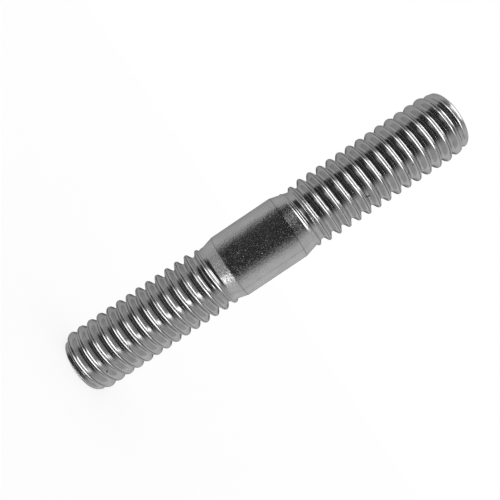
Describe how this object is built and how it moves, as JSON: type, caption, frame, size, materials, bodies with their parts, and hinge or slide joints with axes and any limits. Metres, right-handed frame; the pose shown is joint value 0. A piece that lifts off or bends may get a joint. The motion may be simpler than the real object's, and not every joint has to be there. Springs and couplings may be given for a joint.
{
  "type": "double ended stud",
  "caption": "Steel rod threaded right-hand at each end, with a plain full-bodied shank between the two threads.",
  "frame": {"origin": "centre of the lower end face, the end with the shorter thread, on which the stud stands", "axes": "+Z along the stud's axis towards the end with the longer thread"},
  "size_m": [0.0058, 0.0058, 0.0377],
  "materials": {
    "steel": "bright, lightly grained"
  },
  "bodies": {
    "root": {"stud": "steel"}
  },
  "joints": []
}
